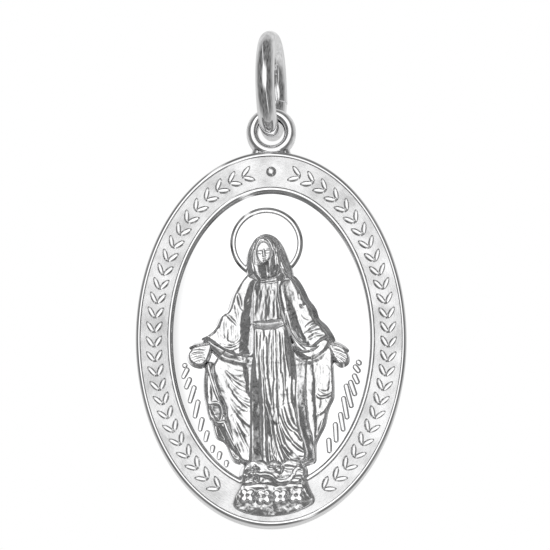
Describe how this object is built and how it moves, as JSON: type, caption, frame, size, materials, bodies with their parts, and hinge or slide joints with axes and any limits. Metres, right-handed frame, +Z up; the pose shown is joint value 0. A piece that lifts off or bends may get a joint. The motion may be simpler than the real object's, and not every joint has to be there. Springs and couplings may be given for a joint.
{
  "type": "religious medal pendant",
  "caption": "Oval silver medal with a robed woman in high relief, a laurel border and an eye on top, swinging on a round-wire jump ring.",
  "frame": {"origin": "inside top of the jump ring, where a chain passes", "axes": "+Z up, -Y is the front with the relief, +X is the viewer's right"},
  "size_m": [0.0178, 0.0072, 0.0332],
  "materials": {
    "medal_silver": "polished silver, with a satin band",
    "ring_silver": "polished silver wire"
  },
  "bodies": {
    "jump_ring": {"jump_ring": "ring_silver"},
    "medal": {"medal": "medal_silver"}
  },
  "joints": [
    {"name": "medal_swing", "type": "hinge", "parent": "jump_ring", "child": "medal", "pos_m": [0, 0, -0.00547], "axis": [0, 1, 0], "range_deg": [-90, 90]}
  ]
}
